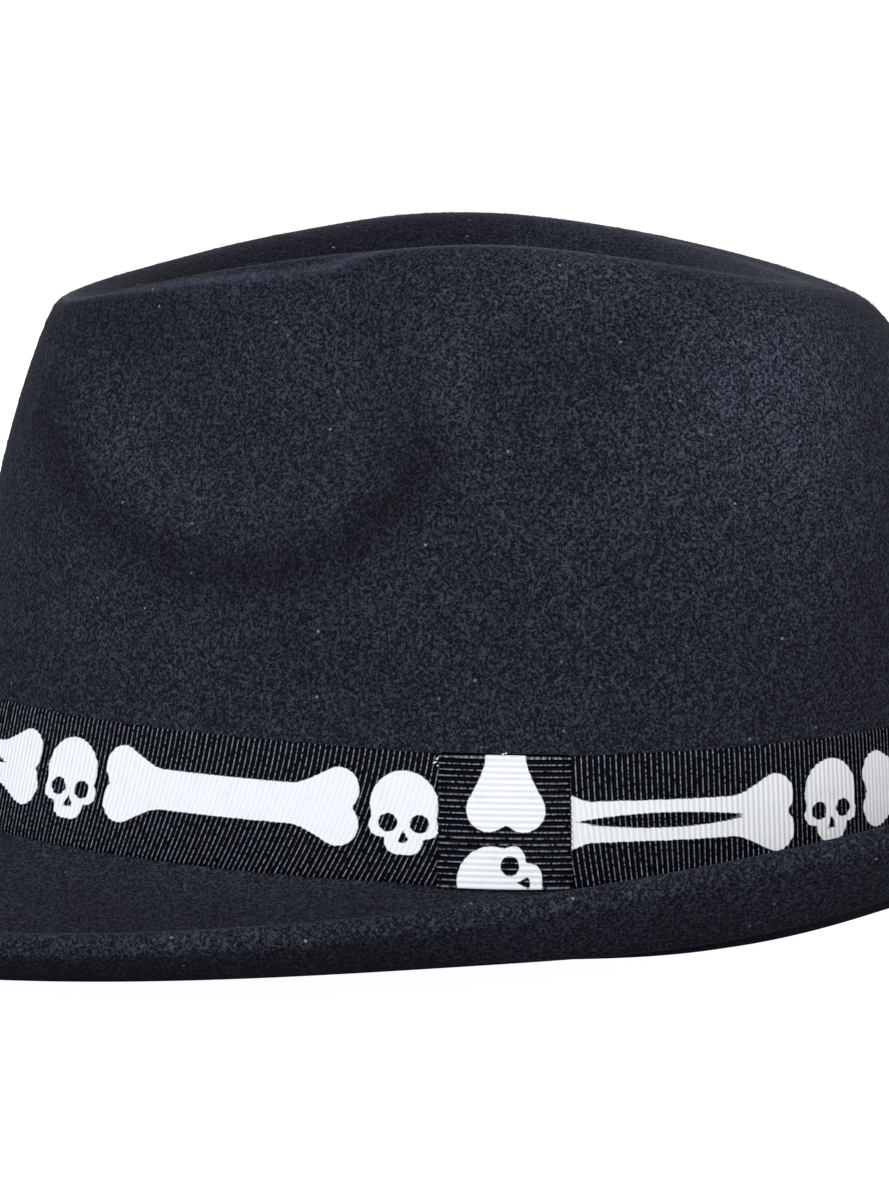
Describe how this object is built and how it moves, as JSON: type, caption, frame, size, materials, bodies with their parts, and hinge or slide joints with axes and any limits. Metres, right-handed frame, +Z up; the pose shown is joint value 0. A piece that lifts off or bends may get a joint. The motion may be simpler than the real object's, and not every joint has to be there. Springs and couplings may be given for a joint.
{
  "type": "felt trilby hat",
  "caption": "Wool-felt trilby with a centre-dent pinched crown, a snap brim turned up behind, and a grosgrain band printed with skulls and bones.",
  "frame": {"origin": "middle of the hat's outline at the lowest point of its brim, on the surface it stands on", "axes": "+Z up through the crown, +Y towards the back of the hat, +X towards the wearer's left, where the keeper is"},
  "size_m": [0.274, 0.3068, 0.1387],
  "materials": {
    "felt": "charcoal-navy pressed wool felt, matt with a fine nap",
    "ribbon": "black polyester grosgrain with white screen print",
    "thread": "black sewing thread",
    "sweatband": "black woven polyester",
    "label": "blank off-white satin tape",
    "wire": "spring wire, inside the brim's fold",
    "sleeve": "crimped brass sleeve, inside the brim's fold"
  },
  "bodies": {
    "root": {"felt_body": "felt", "hat_band": "ribbon", "band_keeper": "ribbon", "keeper_tack": "thread", "band_tack_front": "thread", "band_tack_back": "thread", "band_tack_right": "thread", "sweatband": "sweatband", "sweatband_piping": "sweatband", "sweatband_seam": "thread", "sweatband_joint_tape": "sweatband", "size_label": "label", "brim_wire": "wire", "brim_wire_sleeve": "sleeve"}
  },
  "joints": []
}
